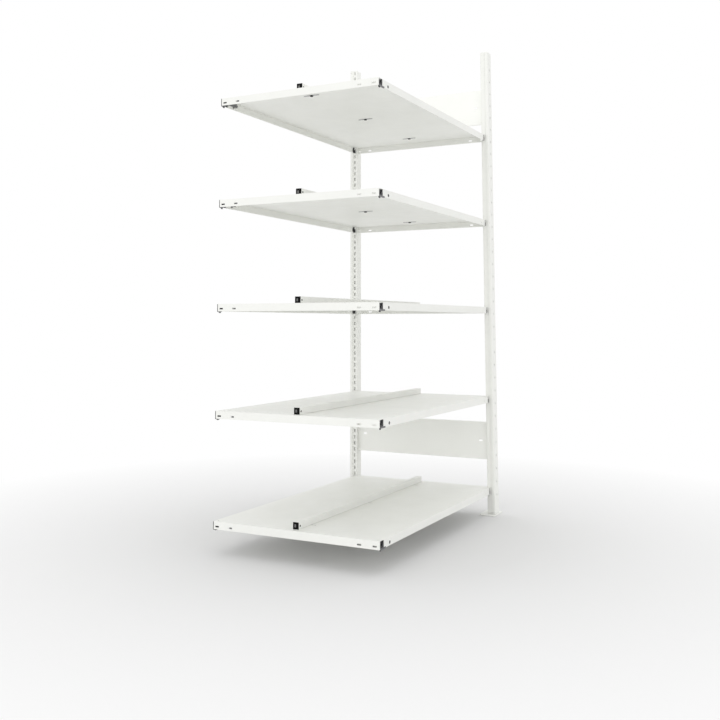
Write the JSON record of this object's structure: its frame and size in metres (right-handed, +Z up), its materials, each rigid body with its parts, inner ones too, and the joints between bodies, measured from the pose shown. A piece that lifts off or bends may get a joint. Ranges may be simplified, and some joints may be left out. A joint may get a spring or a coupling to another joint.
{
  "type": "double-sided bookcase add-on bay",
  "caption": "Add-on bay of a double-sided steel bookcase: a slotted end frame carrying hooked tray shelves, each with a sideways-adjustable centre stop rail.",
  "frame": {"origin": "middle of the outer face of the lowest shelf's near end flange, half way up its height", "axes": "-Y out of the shelves' near ends, towards the neighbouring bay; +Y towards the end frame; +X to the right when looking along +Y; +Z up"},
  "size_m": [0.651, 1.0515, 1.85],
  "materials": {
    "white_powder_coat": "white fine-textured powder coat on sheet steel",
    "dark_zinc": "dark zinc-plated pressed steel",
    "black_plastic": "black moulded plastic"
  },
  "bodies": {
    "bay": {"upright_left": "white_powder_coat", "upright_right": "white_powder_coat", "foot_left": "white_powder_coat", "foot_right": "white_powder_coat", "frame_strip_lower": "white_powder_coat", "frame_strip_upper": "white_powder_coat", "shelf_1": "white_powder_coat", "shelf_2": "white_powder_coat", "shelf_3": "white_powder_coat", "shelf_4": "white_powder_coat", "shelf_5": "white_powder_coat", "hook_1_near_left": "dark_zinc", "hook_1_near_right": "dark_zinc", "hook_1_far_left": "dark_zinc", "hook_1_far_right": "dark_zinc", "hook_2_near_left": "dark_zinc", "hook_2_near_right": "dark_zinc", "hook_2_far_left": "dark_zinc", "hook_2_far_right": "dark_zinc", "hook_3_near_left": "dark_zinc", "hook_3_near_right": "dark_zinc", "hook_3_far_left": "dark_zinc", "hook_3_far_right": "dark_zinc", "hook_4_near_left": "dark_zinc", "hook_4_near_right": "dark_zinc", "hook_4_far_left": "dark_zinc", "hook_4_far_right": "dark_zinc", "hook_5_near_left": "dark_zinc", "hook_5_near_right": "dark_zinc", "hook_5_far_left": "dark_zinc", "hook_5_far_right": "dark_zinc"},
    "stop_1": {"stop_rail_1": "white_powder_coat", "stop_plug_1": "black_plastic", "stop_clamp_1_1": "black_plastic", "stop_clamp_1_2": "black_plastic", "stop_clamp_1_3": "black_plastic"},
    "stop_2": {"stop_rail_2": "white_powder_coat", "stop_plug_2": "black_plastic", "stop_clamp_2_1": "black_plastic", "stop_clamp_2_2": "black_plastic", "stop_clamp_2_3": "black_plastic"},
    "stop_3": {"stop_rail_3": "white_powder_coat", "stop_plug_3": "black_plastic", "stop_clamp_3_1": "black_plastic", "stop_clamp_3_2": "black_plastic", "stop_clamp_3_3": "black_plastic"},
    "stop_4": {"stop_rail_4": "white_powder_coat", "stop_plug_4": "black_plastic", "stop_clamp_4_1": "black_plastic", "stop_clamp_4_2": "black_plastic", "stop_clamp_4_3": "black_plastic"},
    "stop_5": {"stop_rail_5": "white_powder_coat", "stop_plug_5": "black_plastic", "stop_clamp_5_1": "black_plastic", "stop_clamp_5_2": "black_plastic", "stop_clamp_5_3": "black_plastic"}
  },
  "joints": [
    {"name": "stop_shift_1", "type": "slide", "parent": "bay", "child": "stop_1", "axis": [1, 0, 0], "range_m": [-0.024, 0.024]},
    {"name": "stop_shift_2", "type": "slide", "parent": "bay", "child": "stop_2", "axis": [1, 0, 0], "range_m": [-0.024, 0.024]},
    {"name": "stop_shift_3", "type": "slide", "parent": "bay", "child": "stop_3", "axis": [1, 0, 0], "range_m": [-0.024, 0.024]},
    {"name": "stop_shift_4", "type": "slide", "parent": "bay", "child": "stop_4", "axis": [1, 0, 0], "range_m": [-0.024, 0.024]},
    {"name": "stop_shift_5", "type": "slide", "parent": "bay", "child": "stop_5", "axis": [1, 0, 0], "range_m": [-0.024, 0.024]}
  ]
}
